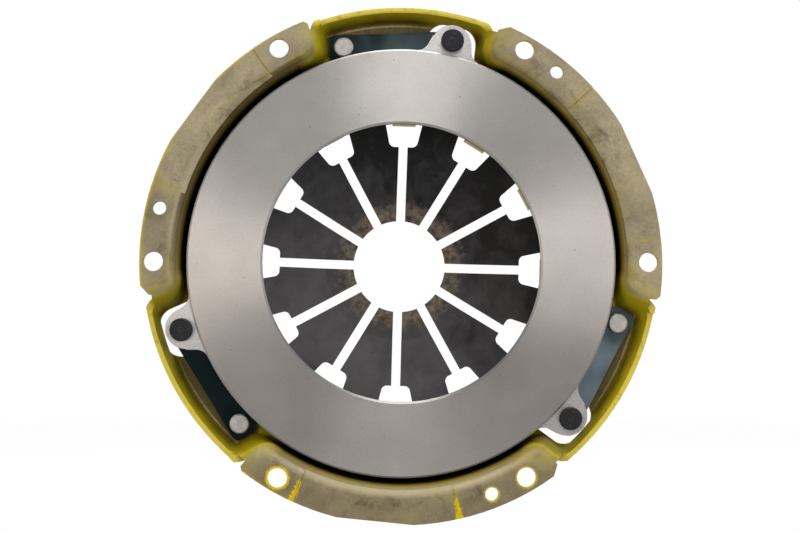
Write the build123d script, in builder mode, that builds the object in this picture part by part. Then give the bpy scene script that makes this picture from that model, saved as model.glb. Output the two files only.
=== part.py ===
from build123d import *
from math import cos, radians, sin, tan
import os

os.makedirs("parts", exist_ok=True)

# A clutch cover assembly for a 200 mm disc: cover, pressure plate, diaphragm spring, straps and rivets.
# The axis of the clutch is the Y axis and its centre is the origin. The flywheel lies on the -Y side.
# Depth is measured along +Y from the face of the cover's flange, which the flywheel meets at y = 0.
# An angle runs from +X towards +Z, as it is seen from the flywheel.
# Lengths are in millimetres and angles in degrees.

# The friction face sets the size of the clutch
face_radius = 100.0
face_depth = 2.2

# Cover: the wall round the plate, the ledge that carries the straps, and the flange
cover_sheet = 3.2
blank_margin = 20.0
wall_clearance = 2.6
wall_radius = face_radius + wall_clearance
ledge_depth = 20.2
ledge_bend = 1.6
flange_bend = 5.0
flange_width = 18.8
flange_radius = wall_radius + flange_width
bolt_inset = 6.4
bolt_circle_radius = flange_radius - bolt_inset
bolt_hole_radius = 4.5
bolt_count = 6
dowel_hole_radius = 3.1
dowel_angles = [50.9, 167.6, 291.1]
sector_count = 3
sector_pitch = 360 / sector_count
flat_inset = 1.3
flat_distance = flange_radius - flat_inset
flat_angle = 24.0
flange_relief_depth = 0.5
flange_relief_start = 5.0
flange_relief_end = 42.7

# Cover: the strap bays between the flange sectors
pad_corner_radius = 8.0
bay_floor_inset = 6.0
bay_floor_radius = flange_radius - bay_floor_inset
bay_taper = 16.0
bay_corner_radius = 2.5
bay_foot_angles = [69.1, 71.3, 107.6, 111.2]
rim_depth = 9.0
rim_inset = 4.6
rim_inner_radius = flange_radius - rim_inset
rim_end_angle = 108.7
rim_end_depth = 5.5
bay_edge_inset = 0.5
bay_edge_radius = flange_radius - bay_edge_inset
bay_edge_angles = [69.5, 110.8]
flange_corner_angles = [65.3, 112.5]
notch_angles = [67.5, 111.7]
notch_insets = [3.4, 1.5]

# Cover: the drum and the dome behind the ledge
drum_step = 6.6
drum_radius = wall_radius - drum_step
drum_mouth_bend = 3.8
drum_taper = 7.0
drum_length = 18.6
dome_depth = ledge_depth + drum_length
dome_bend = 4.0
bead_width = 2.8
bead_slope_run = 4.8
bead_bend = 4.6
bead_lip_rise = 0.9
bead_lip_bend = 3.0
tab_width = 11.2
tab_curl_start = 180.0
tab_curl_end = 300.0

# Diaphragm spring at rest: a cone that pivots on the fulcrum circle
spring_sheet = 2.4
spring_clearance = 6.0
spring_radius = drum_radius - spring_clearance
fulcrum_inset = 16.2
fulcrum_radius = spring_radius - fulcrum_inset
fulcrum_rise = 3.9
fulcrum_depth = dome_depth - fulcrum_rise
fulcrum_gap = 0.45
cone_angle = 10.0
tip_radius = 22.3
tip_length = 13.7
tip_angle = 3.0
finger_count = 12
spring_turn = -1.8
slot_width = 4.4
window_reach = 15.7
window_inner_radius = fulcrum_radius - window_reach
window_clearance = 0.8
window_inner_width = 13.0
window_side_clearance = 4.1
window_outer_width = tab_width + 2 * window_side_clearance
window_corner_radius = 2.8
sector_gap = 0.3
wire_radius = 2.0
wire_fit = 0.02
opening_inset = 2.8
opening_radius = fulcrum_radius - opening_inset

# Pressure plate
friction_width = 35.1
bore_radius = face_radius - friction_width
bore_chamfer = 1.0
face_edge_chamfer = 0.8
bore_land = 2.5
bore_flare = 3.2
inner_thickness = 15.3
outer_thickness = 17.3
body_clearance = 3.0
casting_edge = 1.5
ridge_inset = 2.0
ridge_radius = spring_radius - ridge_inset
ridge_crest_radius = 1.8
ridge_root_width = 8.0
ridge_step = 8.0
ridge_clearance = 0.3
ridge_gap_width = 22.0
ridge_gap_floor = 2.5

# Lugs, rivets and straps
lug_step = 1.2
lug_front_depth = face_depth + lug_step
lug_thickness = 9.4
lug_nose_radius = 9.3
lug_nose_inset = 1.9
lug_flank_angle = 15.0
lug_strap_side_extra = 0.9
lug_root_fillet = 6.0
rivet_offset = 4.3
rivet_circle_radius = wall_radius + rivet_offset
lug_rivet_angle = 77.17
cover_rivet_angle = 104.81
lug_window_swing = [-7.5, -5.4, 6.1]
lug_window_angles = [lug_rivet_angle + swing for swing in lug_window_swing]
lug_window_inner_inset = 2.1
lug_window_outer_reach = 2.1
lug_window_corner_radius = 7.7
leaf_count = 3
leaf_thickness = 0.8
strap_width = 12.4
strap_end = 6.8
strap_clamp = 7.0
strap_corner = 3.2
rivet_fit = 0.05
lug_rivet_radius = 3.6
lug_head_radius = 5.35
lug_head_height = 2.4
lug_tail_radius = 5.0
lug_tail_height = 2.4
cover_rivet_radius = 3.0
cover_head_radius = 4.75
cover_head_height = 2.0
cover_tail_radius = 4.6
cover_tail_height = 2.2
head_rounding = 0.9

# Values that follow from the ones above
lug_back_depth = lug_front_depth + lug_thickness
strap_pack = leaf_count * leaf_thickness
strap_rise = ledge_depth - strap_pack - lug_back_depth
half_strap_angle = (cover_rivet_angle - lug_rivet_angle) / 2
strap_pitch = 2 * rivet_circle_radius * sin(radians(half_strap_angle))
strap_angle = lug_rivet_angle + half_strap_angle
strap_radius = rivet_circle_radius * cos(radians(half_strap_angle))
body_radius = drum_radius - body_clearance
half_sheet = spring_sheet / 2
wire_depth = fulcrum_depth - half_sheet - fulcrum_gap - wire_radius
bead_depth = fulcrum_depth + half_sheet + fulcrum_gap
wire_play = tab_width**2 / (8 * fulcrum_radius) + wire_fit
tab_outer_radius = fulcrum_radius - wire_radius - wire_play
tab_inner_radius = tab_outer_radius - cover_sheet
window_outer_radius = tab_outer_radius + window_clearance
finger_pitch = 360 / finger_count
seam_radius = (drum_radius + drum_mouth_bend + wall_radius - ledge_bend) / 2
cone_slope = tan(radians(cone_angle))
tip_bend_radius = tip_radius + tip_length
ridge_crest_depth = (
    fulcrum_depth - (ridge_radius - fulcrum_radius) * cone_slope - half_sheet / cos(radians(cone_angle)) - ridge_clearance
)
lug_window_inner_radius = wall_radius - lug_window_inner_inset
lug_window_outer_radius = bay_floor_radius + lug_window_outer_reach


def plan_at(depth):
    """The plane across the axis at a depth, seen from the flywheel; extruding goes towards the flywheel."""
    return Plane.XZ.offset(-depth)


def radial_plane(angle):
    """The plane through the axis at an angle, with x outwards and y along the depth."""
    along = (cos(radians(angle)), 0, sin(radians(angle)))
    across = (-sin(radians(angle)), 0, cos(radians(angle)))
    return Plane(origin=(0, 0, 0), x_dir=along, z_dir=across)


def polar(radius, angle):
    """A point on a plan plane, from its radius and angle."""
    return (radius * cos(radians(angle)), radius * sin(radians(angle)))


def radius_of(point):
    """The distance of a point from the clutch axis."""
    return (point.X**2 + point.Z**2) ** 0.5


def edges_at_depth(part, depth, inside):
    """The edges that lie in one plane across the axis, inside a radius."""
    return part.edges().filter_by(
        lambda e: all(abs(p.Y - depth) < 0.001 for p in (e @ 0, e @ 0.5, e @ 1)) and radius_of(e @ 0.5) < inside
    )


# The space in front of the sheet, down to the ledge

def pan_form(grow):
    """The hollow of the pan, or with the sheet's thickness added the outside of the pan."""
    depth = ledge_depth + grow
    side = grow * (1 / cos(radians(bay_taper)) - tan(radians(bay_taper)))
    reach = bay_floor_radius + cover_sheet
    foot = bay_foot_angles
    with BuildSketch() as bay:
        with BuildLine():
            Polyline(
                polar(drum_radius, foot[0]),
                polar(reach, foot[1]),
                polar(reach + cover_sheet, (foot[1] + foot[2]) / 2),
                polar(reach, foot[2]),
                polar(drum_radius, foot[3]),
                close=True,
            )
        make_face()
        Circle(bay_floor_radius, mode=Mode.INTERSECT)
        outer_corners = bay.vertices().filter_by(lambda v: (v.X**2 + v.Y**2) ** 0.5 > wall_radius)
        fillet(outer_corners, bay_corner_radius)
        if side > 0:
            offset(amount=side, kind=Kind.ARC)
    with BuildPart() as form:
        with BuildSketch(plan_at(depth)):
            Circle(wall_radius + grow)
        extrude(amount=depth + cover_sheet)
        with BuildSketch(plan_at(depth)):
            with PolarLocations(0, sector_count):
                add(bay.sketch)
        extrude(amount=depth + cover_sheet, taper=-bay_taper)
        corners = form.edges().filter_by(
            lambda e: abs(radius_of(e @ 0.5) - wall_radius - grow) < 0.01
            and abs((e @ 0).Y - (e @ 1).Y) > ledge_depth
        )
        fillet(corners, pad_corner_radius - grow)
        fillet(edges_at_depth(form, depth, flange_radius), ledge_bend + grow)
    return form.part


pan_outside = pan_form(cover_sheet)
pan_hollow = pan_form(0)
blank_radius = flange_radius + blank_margin

# The outlines that trim the pan: a stretch of a bay's rim, the edge of a bay between its two notches,
# and the sector between two creases
def rim_stretch(start, end):
    """The part of a bay's flange and rim between two angles."""
    with BuildSketch() as stretch:
        with BuildLine():
            CenterArc((0, 0), rim_inner_radius, start, end - start)
            Polyline(
                polar(rim_inner_radius, end),
                polar(blank_radius, end),
                polar(2 * blank_radius, (start + end) / 2),
                polar(blank_radius, start),
                polar(rim_inner_radius, start),
            )
        make_face()
    return stretch.sketch


low_rim = rim_stretch(notch_angles[0], rim_end_angle)
rim_end = rim_stretch(rim_end_angle, notch_angles[1])
corner_points = [Vector(*polar(flange_radius, a)) for a in flange_corner_angles]
notch_points = [Vector(*polar(flange_radius - inset, a)) for inset, a in zip(notch_insets, notch_angles)]
outer_points = [n + (c - n) * 3 for c, n in zip(corner_points, notch_points)]
with BuildSketch() as edge_trim:
    with BuildLine():
        Polyline(
            polar(bay_edge_radius, bay_edge_angles[0]),
            notch_points[0],
            outer_points[0],
            polar(2 * blank_radius, (notch_angles[0] + notch_angles[1]) / 2),
            outer_points[1],
            notch_points[1],
            polar(bay_edge_radius, bay_edge_angles[1]),
        )
        ThreePointArc(
            polar(bay_edge_radius, bay_edge_angles[1]),
            polar(bay_edge_radius, (bay_edge_angles[0] + bay_edge_angles[1]) / 2),
            polar(bay_edge_radius, bay_edge_angles[0]),
        )
    make_face()

with BuildSketch() as relief_sector:
    with BuildLine():
        Polyline(
            (0, 0),
            polar(2 * flange_radius, flange_relief_start),
            polar(2 * flange_radius, flange_relief_end),
            close=True,
        )
    make_face()

# The window in the ledge behind a lug, through which its rivet is closed
with BuildSketch() as lug_window:
    with BuildLine():
        Polyline(
            polar(lug_window_inner_radius, lug_window_angles[0]),
            polar(lug_window_outer_radius, lug_window_angles[1]),
            polar(2 * lug_window_outer_radius, lug_window_angles[1]),
            polar(2 * lug_window_outer_radius, lug_window_angles[2]),
            polar(lug_window_inner_radius, lug_window_angles[2]),
            close=True,
        )
    make_face()
    Circle(lug_window_outer_radius, mode=Mode.INTERSECT)
    fillet(lug_window.vertices().group_by(lambda v: (v.X**2 + v.Y**2) ** 0.5)[-1], lug_window_corner_radius)

# Cover: one pressing of steel sheet
with BuildPart() as cover:
    add(pan_outside)
    with BuildSketch(plan_at(cover_sheet)):
        Circle(blank_radius)
    extrude(amount=cover_sheet)
    with BuildSketch(plan_at(0)):
        Circle(blank_radius)
    extrude(amount=blank_radius, mode=Mode.SUBTRACT)
    fillet(edges_at_depth(cover, cover_sheet, blank_radius - 1), flange_bend - cover_sheet)
    add(pan_hollow, mode=Mode.SUBTRACT)
    fillet(edges_at_depth(cover, 0, blank_radius - 1), flange_bend)

    # The outline is trimmed round, with a short flat in the middle of each flange sector
    with BuildSketch(plan_at(ledge_depth + 2 * cover_sheet)):
        Circle(blank_radius + 1)
        Circle(flange_radius, mode=Mode.SUBTRACT)
        with PolarLocations(flat_distance + cover_sheet, sector_count, start_angle=flat_angle):
            Rectangle(2 * cover_sheet, flange_radius / 2)
    extrude(amount=ledge_depth + 3 * cover_sheet, mode=Mode.SUBTRACT)

    # In the bays the flange is cut away and the wall is trimmed to a low rim, a little higher at one end
    with BuildSketch(plan_at(rim_depth)):
        with PolarLocations(0, sector_count):
            add(low_rim)
    extrude(amount=rim_depth + cover_sheet, mode=Mode.SUBTRACT)
    with BuildSketch(plan_at(rim_end_depth)):
        with PolarLocations(0, sector_count):
            add(rim_end)
    extrude(amount=rim_end_depth + cover_sheet, mode=Mode.SUBTRACT)
    with BuildSketch(plan_at(ledge_depth + 2 * cover_sheet)):
        with PolarLocations(0, sector_count):
            add(edge_trim.sketch)
    extrude(amount=ledge_depth + 3 * cover_sheet, mode=Mode.SUBTRACT)

    # Between two creases the flange face lies a little back
    with BuildSketch(plan_at(flange_relief_depth)):
        with PolarLocations(0, sector_count):
            add(relief_sector.sketch)
    extrude(amount=cover_sheet, mode=Mode.SUBTRACT)

    # Bolt holes, dowel holes, the holes for the strap rivets, and a window behind each lug
    with BuildSketch(plan_at(2 * cover_sheet)):
        with PolarLocations(bolt_circle_radius, bolt_count):
            Circle(bolt_hole_radius)
        with Locations(*[polar(bolt_circle_radius, a) for a in dowel_angles]):
            Circle(dowel_hole_radius)
    extrude(amount=3 * cover_sheet, mode=Mode.SUBTRACT)
    with BuildSketch(plan_at(ledge_depth + 2 * cover_sheet)):
        with PolarLocations(rivet_circle_radius, sector_count, start_angle=cover_rivet_angle):
            Circle(cover_rivet_radius + rivet_fit)
        with PolarLocations(0, sector_count):
            add(lug_window.sketch)
    extrude(amount=3 * cover_sheet, mode=Mode.SUBTRACT)

    # The ledge opens into the drum and dome, which end in the rear fulcrum bead
    with BuildSketch(plan_at(ledge_depth + 2 * cover_sheet)):
        Circle(seam_radius)
    extrude(amount=3 * cover_sheet, mode=Mode.SUBTRACT)
    with BuildSketch(Plane.XY):
        with BuildLine():
            FilletPolyline(
                (seam_radius, ledge_depth),
                (drum_radius, ledge_depth),
                (drum_radius - (dome_depth - ledge_depth) * tan(radians(drum_taper)), dome_depth),
                (fulcrum_radius + bead_width / 2 + bead_slope_run, dome_depth),
                (fulcrum_radius + bead_width / 2, bead_depth),
                (fulcrum_radius - bead_width / 2, bead_depth),
                (opening_radius, bead_depth + bead_lip_rise),
                radius=[drum_mouth_bend, dome_bend, dome_bend, bead_bend, bead_lip_bend],
            )
            offset(amount=cover_sheet, side=Side.RIGHT, closed=True)
        make_face()
    revolve(axis=Axis.Y)

    # Twelve tabs pass forward through the spring's windows and curl over the wire ring
    with BuildSketch(*[radial_plane(spring_turn + finger_pitch * k) for k in range(finger_count)]):
        with BuildLine():
            wire = (fulcrum_radius, wire_depth)
            inner_bend = wire_radius + wire_play
            outer_bend = inner_bend + cover_sheet
            root = bead_depth + cover_sheet
            Polyline(
                (tab_outer_radius, wire_depth),
                (tab_outer_radius, bead_depth + bead_lip_rise),
                (fulcrum_radius - bead_width / 2, bead_depth + bead_lip_rise),
                (fulcrum_radius - bead_width / 2, root),
                (tab_outer_radius, root + bead_lip_rise),
            )
            RadiusArc(
                (tab_outer_radius, root + bead_lip_rise),
                (tab_inner_radius, bead_depth + bead_lip_rise),
                cover_sheet,
            )
            Line((tab_inner_radius, bead_depth + bead_lip_rise), (tab_inner_radius, wire_depth))
            outer_curl = CenterArc(wire, outer_bend, tab_curl_start, tab_curl_end - tab_curl_start)
            inner_curl = CenterArc(wire, inner_bend, tab_curl_start, tab_curl_end - tab_curl_start)
            Line(outer_curl @ 1, inner_curl @ 1)
        make_face()
    extrude(amount=tab_width / 2, both=True)

cover.part.label = "cover"
export_step(cover.part, "parts/cover.step")

# Pressure plate: the outline of the ring and its three lugs, as seen from the flywheel
lug_tangent = lug_nose_radius * sin(radians(lug_flank_angle))
nose_circle_radius = rivet_circle_radius - lug_nose_inset
lug_run = nose_circle_radius + lug_tangent - body_radius
lug_half_root = lug_nose_radius * cos(radians(lug_flank_angle)) + lug_run * tan(radians(lug_flank_angle))
with BuildSketch() as lug_outline:
    Circle(face_radius)
    with PolarLocations(0, sector_count, start_angle=lug_rivet_angle):
        Polygon(
            (body_radius, -lug_half_root),
            (body_radius + lug_run, -lug_nose_radius * cos(radians(lug_flank_angle))),
            (body_radius + lug_run, lug_nose_radius * cos(radians(lug_flank_angle)) + lug_strap_side_extra / 2),
            (body_radius, lug_half_root + lug_strap_side_extra),
            align=None,
        )
    with PolarLocations(nose_circle_radius, sector_count, start_angle=lug_rivet_angle):
        Circle(lug_nose_radius)
    flanks = [Vector(*polar(face_radius, lug_rivet_angle + sector_pitch * k)) for k in range(sector_count)]
    roots = lug_outline.vertices().filter_by(
        lambda v: abs(Vector(v.X, v.Y).length - face_radius) < 0.01
        and min((Vector(v.X, v.Y) - flank).length for flank in flanks) < lug_half_root
    )
    fillet(roots, lug_root_fillet)
    Circle(body_radius - body_clearance, mode=Mode.SUBTRACT)

# Pressure plate: an iron casting, ground on its face, with a broken fulcrum ridge on its back
inner_back = face_depth + inner_thickness
outer_back = face_depth + outer_thickness
with BuildPart() as pressure_plate:
    with BuildSketch(Plane.XY):
        with BuildLine():
            FilletPolyline(
                (bore_radius + bore_flare, inner_back),
                (bore_radius, face_depth + bore_land),
                (bore_radius, face_depth + bore_chamfer),
                (bore_radius + bore_chamfer, face_depth),
                (face_radius - face_edge_chamfer, face_depth),
                (face_radius, face_depth + face_edge_chamfer),
                (face_radius, lug_back_depth),
                (body_radius, lug_back_depth),
                (body_radius, outer_back),
                (ridge_radius - ridge_step, outer_back),
                (ridge_radius - ridge_step, inner_back),
                radius=[casting_edge, 0, 0, 0, 0, 0, 0, casting_edge, casting_edge, 0, 0],
                close=True,
            )
        make_face()
        with BuildLine():
            FilletPolyline(
                (ridge_radius - ridge_root_width / 2, outer_back),
                (ridge_radius - ridge_crest_radius, ridge_crest_depth),
                (ridge_radius + ridge_crest_radius, ridge_crest_depth),
                (ridge_radius + ridge_root_width / 2, outer_back),
                radius=[0, ridge_crest_radius, ridge_crest_radius, 0],
                close=True,
            )
        make_face()
    revolve(axis=Axis.Y)
    with BuildSketch(plan_at(ridge_crest_depth + cover_sheet)):
        with PolarLocations(ridge_radius, finger_count, start_angle=spring_turn):
            Rectangle(2 * ridge_root_width, ridge_gap_width)
    extrude(amount=ridge_crest_depth + cover_sheet - outer_back - ridge_gap_floor, mode=Mode.SUBTRACT)
    with BuildSketch(plan_at(lug_back_depth)):
        add(lug_outline.sketch)
    extrude(amount=lug_thickness)
    with BuildSketch(plan_at(lug_back_depth)):
        with PolarLocations(rivet_circle_radius, sector_count, start_angle=lug_rivet_angle):
            Circle(lug_rivet_radius + rivet_fit)
    extrude(amount=lug_thickness, mode=Mode.SUBTRACT)
pressure_plate.part.label = "pressure_plate"
export_step(pressure_plate.part, "parts/pressure_plate.step")

# Diaphragm spring: the windows that the cover's tabs pass through
with BuildSketch() as spring_window:
    Polygon(
        (window_inner_radius, -window_inner_width / 2),
        (window_outer_radius, -window_outer_width / 2),
        (window_outer_radius, window_outer_width / 2),
        (window_inner_radius, window_inner_width / 2),
        align=None,
    )
    fillet(spring_window.vertices(), window_corner_radius)

# Diaphragm spring: one finger between two slots, with the sector of the ring that it grows from
tip_bend_depth = fulcrum_depth + (fulcrum_radius - tip_bend_radius) * cone_slope
tip_depth = tip_bend_depth + (tip_bend_radius - tip_radius) * tan(radians(tip_angle))
with BuildPart() as one_finger:
    with BuildSketch(radial_plane(spring_turn + finger_pitch)):
        with BuildLine() as middle_line:
            Polyline(
                (spring_radius, fulcrum_depth - (spring_radius - fulcrum_radius) * cone_slope),
                (tip_bend_radius, tip_bend_depth),
                (tip_radius, tip_depth),
            )
        trace(middle_line.line, line_width=spring_sheet)
    revolve(axis=Axis.Y, revolution_arc=finger_pitch)
    with BuildSketch(plan_at(tip_depth + spring_sheet)):
        with PolarLocations(0, 2, start_angle=spring_turn, angular_range=finger_pitch, endpoint=True):
            with Locations((window_inner_radius / 2, 0)):
                Rectangle(window_inner_radius + window_corner_radius, slot_width)
            with Locations((spring_radius, 0)):
                Rectangle(2 * (spring_radius - window_outer_radius) + window_corner_radius, sector_gap)
            add(spring_window.sketch)
    extrude(amount=spring_radius, mode=Mode.SUBTRACT)
for number in range(finger_count):
    with BuildPart() as diaphragm_finger:
        add(one_finger.part.rotate(Axis.Y, -finger_pitch * number))
    diaphragm_finger.part.label = f"diaphragm_finger_{number + 1:02d}"
    export_step(diaphragm_finger.part, f"parts/diaphragm_finger_{number + 1:02d}.step")

# Wire ring: round spring wire that the twelve tabs hold against the front of the spring
with BuildPart() as fulcrum_ring:
    with BuildSketch(Plane.XY):
        with Locations((fulcrum_radius, wire_depth)):
            Circle(wire_radius)
    revolve(axis=Axis.Y)
fulcrum_ring.part.label = "fulcrum_ring"
export_step(fulcrum_ring.part, "parts/fulcrum_ring.step")

# Straps: each pack is three leaves of spring steel, flat under both rivets and bent in an S between them
strap_run = strap_pitch - 2 * strap_clamp


def leaf_face(depth):
    """One face of a leaf, from its lug end at a depth to its cover end."""
    middle = (0, depth + strap_rise / 2)
    with BuildLine() as face_line:
        Line((-strap_pitch / 2 - strap_end, depth), (-strap_run / 2, depth))
        TangentArc((-strap_run / 2, depth), middle, tangent=(1, 0))
        TangentArc((strap_run / 2, depth + strap_rise), middle, tangent=(-1, 0))
        Line((strap_run / 2, depth + strap_rise), (strap_pitch / 2 + strap_end, depth + strap_rise))
    return face_line.line


for pack in range(sector_count):
    angle = strap_angle + sector_pitch * pack
    inwards = Vector(-cos(radians(angle)), 0, -sin(radians(angle)))
    along = Vector(-sin(radians(angle)), 0, cos(radians(angle)))
    for leaf in range(leaf_count):
        front = lug_back_depth + leaf * leaf_thickness
        front_face = leaf_face(front)
        back_face = leaf_face(front + leaf_thickness)
        with BuildPart() as strap:
            with BuildSketch(Plane(origin=inwards * -strap_radius, x_dir=along, z_dir=inwards)):
                with BuildLine():
                    add(front_face)
                    add(back_face)
                    Line(front_face @ 0, back_face @ 0)
                    Line(front_face @ 1, back_face @ 1)
                make_face()
            extrude(amount=strap_width / 2, both=True)
            fillet(strap.edges().filter_by(Axis.Y), strap_corner)
            with BuildSketch(plan_at(ledge_depth + cover_sheet)):
                with Locations(polar(rivet_circle_radius, lug_rivet_angle + sector_pitch * pack)):
                    Circle(lug_rivet_radius + rivet_fit)
                with Locations(polar(rivet_circle_radius, cover_rivet_angle + sector_pitch * pack)):
                    Circle(cover_rivet_radius + rivet_fit)
            extrude(amount=ledge_depth, mode=Mode.SUBTRACT)
        strap.part.label = f"strap_{pack + 1}_leaf_{leaf + 1}"
        export_step(strap.part, f"parts/strap_{pack + 1}_leaf_{leaf + 1}.step")


def three_rivets(angle, front_depth, back_depth, shank, head, head_height, tail, tail_height):
    """Three rivets of one kind, whose heads bear on a front depth and whose tails bear on a back depth."""
    with BuildPart() as rivets:
        for radius, near_depth, far_depth in (
            (head, front_depth - head_height, front_depth),
            (shank, front_depth, back_depth),
            (tail, back_depth, back_depth + tail_height),
        ):
            with BuildSketch(plan_at(far_depth)):
                with PolarLocations(rivet_circle_radius, sector_count, start_angle=angle):
                    Circle(radius)
            extrude(amount=far_depth - near_depth)
        fillet(edges_at_depth(rivets, front_depth - head_height, flange_radius), head_rounding)
        fillet(edges_at_depth(rivets, back_depth + tail_height, flange_radius), head_rounding)
    return rivets.part


# Lug rivets: each clamps a strap pack to the back of a lug
with BuildPart() as lug_rivets:
    add(
        three_rivets(
            lug_rivet_angle,
            lug_front_depth,
            lug_back_depth + strap_pack,
            lug_rivet_radius,
            lug_head_radius,
            lug_head_height,
            lug_tail_radius,
            lug_tail_height,
        )
    )
lug_rivets.part.label = "lug_rivets"
export_step(lug_rivets.part, "parts/lug_rivets.step")

# Cover rivets: each clamps the other end of a strap pack to the ledge
with BuildPart() as cover_rivets:
    add(
        three_rivets(
            cover_rivet_angle,
            ledge_depth - strap_pack,
            ledge_depth + cover_sheet,
            cover_rivet_radius,
            cover_head_radius,
            cover_head_height,
            cover_tail_radius,
            cover_tail_height,
        )
    )
cover_rivets.part.label = "cover_rivets"
export_step(cover_rivets.part, "parts/cover_rivets.step")
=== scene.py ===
import bmesh
import bpy
import math
from mathutils import Matrix, Vector


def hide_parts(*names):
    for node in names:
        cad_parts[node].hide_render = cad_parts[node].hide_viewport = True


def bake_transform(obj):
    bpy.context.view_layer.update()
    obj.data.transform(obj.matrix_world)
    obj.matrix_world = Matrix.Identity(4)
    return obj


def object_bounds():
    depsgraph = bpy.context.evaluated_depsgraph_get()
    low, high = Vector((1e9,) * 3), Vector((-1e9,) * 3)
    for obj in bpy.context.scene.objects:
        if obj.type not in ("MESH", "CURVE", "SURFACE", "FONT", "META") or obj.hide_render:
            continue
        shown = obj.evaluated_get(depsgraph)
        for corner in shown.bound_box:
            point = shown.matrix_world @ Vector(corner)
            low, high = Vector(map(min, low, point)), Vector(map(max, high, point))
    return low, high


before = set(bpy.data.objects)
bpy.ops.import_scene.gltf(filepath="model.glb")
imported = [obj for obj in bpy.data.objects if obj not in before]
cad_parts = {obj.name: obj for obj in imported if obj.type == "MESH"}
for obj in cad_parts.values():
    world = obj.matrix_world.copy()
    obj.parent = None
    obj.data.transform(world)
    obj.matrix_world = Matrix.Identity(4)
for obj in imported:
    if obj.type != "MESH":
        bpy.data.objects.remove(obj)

cad_low, cad_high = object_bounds()

# The photograph's viewpoint: the camera stands about 760 mm in front of the friction face,
# a little to the left of the clutch axis and a little below it, with no roll.
view_distance = 0.760
view_left = 0.0371
view_below = 0.0572
frame_width_px = 800
focal_length_px = 1639
framing_px = (-2.27, -4.75)
sensor_width_mm = 36.0
camera_data = bpy.data.cameras.new("photo_camera")
camera_data.sensor_width = sensor_width_mm
camera_data.lens = focal_length_px / frame_width_px * sensor_width_mm
camera_data.shift_x, camera_data.shift_y = (shift / frame_width_px for shift in framing_px)
camera = bpy.data.objects.new("photo_camera", camera_data)
bpy.context.scene.collection.objects.link(camera)
towards_camera = Vector(
    (
        -math.sin(view_left) * math.cos(view_below),
        -math.cos(view_left) * math.cos(view_below),
        -math.sin(view_below),
    ),
)
camera.location = towards_camera * view_distance
camera.rotation_euler = (-towards_camera).to_track_quat("-Z", "Y").to_euler()
camera_data.clip_start = 0.01
camera_data.clip_end = 50.0
bpy.context.scene.camera = camera
bpy.context.scene.view_settings.view_transform = "Standard"


# The studio: a plain pale floor and white air around it. The floor lies under the flange and takes
# its soft shadow, and what the camera and the metal see beyond the part is white.
def linear_colour(hex_colour):
    """An sRGB hex colour as linear red, green, blue and alpha."""
    parts = [int(hex_colour[i:i + 2], 16) / 255 for i in (1, 3, 5)]
    return tuple(p / 12.92 if p <= 0.04045 else ((p + 0.055) / 1.055) ** 2.4 for p in parts) + (1.0,)


def set_inputs(tree, node, **links):
    """Gives a node's inputs their values, and links those whose value is another node's output.

    A socket is called by its name with _ for a space, or by i and its number.
    """
    for name, value in links.items():
        key = int(name[1:]) if name[0] == "i" and name[1:].isdigit() else name.replace("_", " ")
        socket = node.inputs[key]
        if isinstance(value, bpy.types.NodeSocket):
            tree.links.new(value, socket)
        else:
            socket.default_value = value


def add_node(tree, kind, settings=None, **links):
    """Adds a node, sets its properties or a ramp's stops, and sets or links its inputs."""
    node = tree.nodes.new("ShaderNode" + kind)
    for name, value in (settings or {}).items():
        if name != "stops":
            setattr(node, name, value)
            continue
        elements = node.color_ramp.elements
        for element, (position, colour) in zip(elements, (value[0], value[-1])):
            element.position, element.color = position, linear_colour(colour)
        for position, colour in value[1:-1]:
            elements.new(position).color = linear_colour(colour)
    set_inputs(tree, node, **links)
    return node


def new_material(name):
    """An empty material with its tree, its Principled shader and its Object coordinates."""
    material = bpy.data.materials.new(name)
    material.use_nodes = True
    tree = material.node_tree
    tree.nodes.clear()
    shader = add_node(tree, "BsdfPrincipled")
    add_node(tree, "OutputMaterial", Surface=shader.outputs["BSDF"])
    place = add_node(tree, "TexCoord").outputs["Object"]
    return material, tree, shader, place


world = bpy.data.worlds.new("white_studio")
world.use_nodes = True
bpy.context.scene.world = world
air = world.node_tree
air.nodes.clear()


def seen_directly(tree):
    """1 where the camera, or a mirror or glass in its sight, looks at a surface, and 0 for soft light."""
    path = add_node(tree, "LightPath").outputs
    mirrored = add_node(
        tree, "Math", {"operation": "MAXIMUM"}, i0=path["Is Glossy Ray"], i1=path["Is Transmission Ray"]
    )
    return add_node(
        tree, "Math", {"operation": "MAXIMUM"}, i0=path["Is Camera Ray"], i1=mirrored.outputs[0]
    ).outputs[0]


# The air that lights the part is soft and grey, dimmer from below
air_way = add_node(air, "SeparateXYZ", i0=add_node(air, "TexCoord").outputs["Generated"]).outputs["Z"]
air_level = add_node(
    air, "MapRange", Value=air_way, From_Min=-0.6, From_Max=0.8, To_Min=0.13, To_Max=0.36
).outputs[0]
lit_air = add_node(air, "Background", Color=linear_colour("#F2F4F6"), Strength=air_level)
white_air = add_node(air, "Background", Color=(1, 1, 1, 1), Strength=1.0)
mixed_air = add_node(air, "MixShader", i0=seen_directly(air), i1=lit_air.outputs[0], i2=white_air.outputs[0])
add_node(air, "OutputWorld", Surface=mixed_air.outputs[0])

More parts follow.
